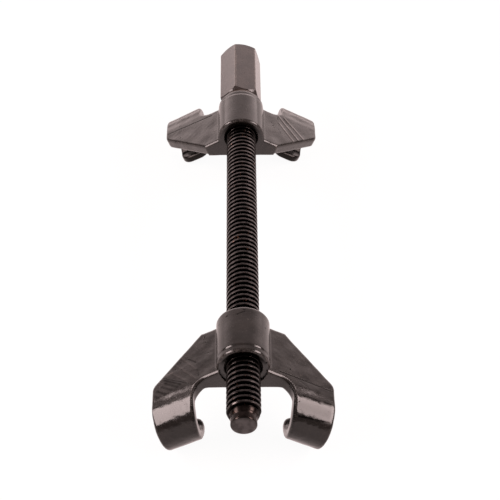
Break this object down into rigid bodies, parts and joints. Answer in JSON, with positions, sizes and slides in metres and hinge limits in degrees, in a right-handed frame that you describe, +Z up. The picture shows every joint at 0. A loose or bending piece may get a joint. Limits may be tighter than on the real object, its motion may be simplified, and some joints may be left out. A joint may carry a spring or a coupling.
{
  "type": "coil spring compressor",
  "caption": "Screw-driven coil spring compressor: a threaded spindle with a long hexagon head draws two forged, hooked jaws together.",
  "frame": {"origin": "middle of the tool on the surface it lies on, below the spindle", "axes": "+Y along the spindle from the dog point to the hexagon, +Z up out of the jaws' front faces, +X to the right"},
  "size_m": [0.0864, 0.2772, 0.0572],
  "materials": {
    "blackened_thread": "oiled black oxide with brown-gold rubbed crests",
    "blackened_hex": "satin brown-black phosphate",
    "washer_steel": "hardened steel, oil-browned",
    "black_forging": "satin brown-black paint on a forged surface"
  },
  "bodies": {
    "lower_jaw": {"lower_jaw": "black_forging"},
    "thrust_washer": {"thrust_washer": "washer_steel"},
    "spindle": {"spindle": "blackened_thread", "hex_head": "blackened_hex"},
    "upper_jaw": {"upper_jaw": "black_forging"}
  },
  "joints": [
    {"name": "jaw_travel", "type": "slide", "parent": "lower_jaw", "child": "thrust_washer", "axis": [0, 1, 0], "range_m": [-0.14, 0.026]},
    {"name": "spindle_turn", "type": "hinge", "parent": "thrust_washer", "child": "spindle", "pos_m": [0, 0.0956, 0.04436], "axis": [0, 1, 0], "range_deg": [-16800.01, 3120.01]},
    {"name": "upper_jaw_turn", "type": "hinge", "parent": "thrust_washer", "child": "upper_jaw", "pos_m": [0, 0.0916, 0.04436], "axis": [0, 1, 0], "continuous": true}
  ],
  "couplings": [
    {"joint": "spindle_turn", "follows": "jaw_travel", "rad_per_m": 2094.4}
  ]
}
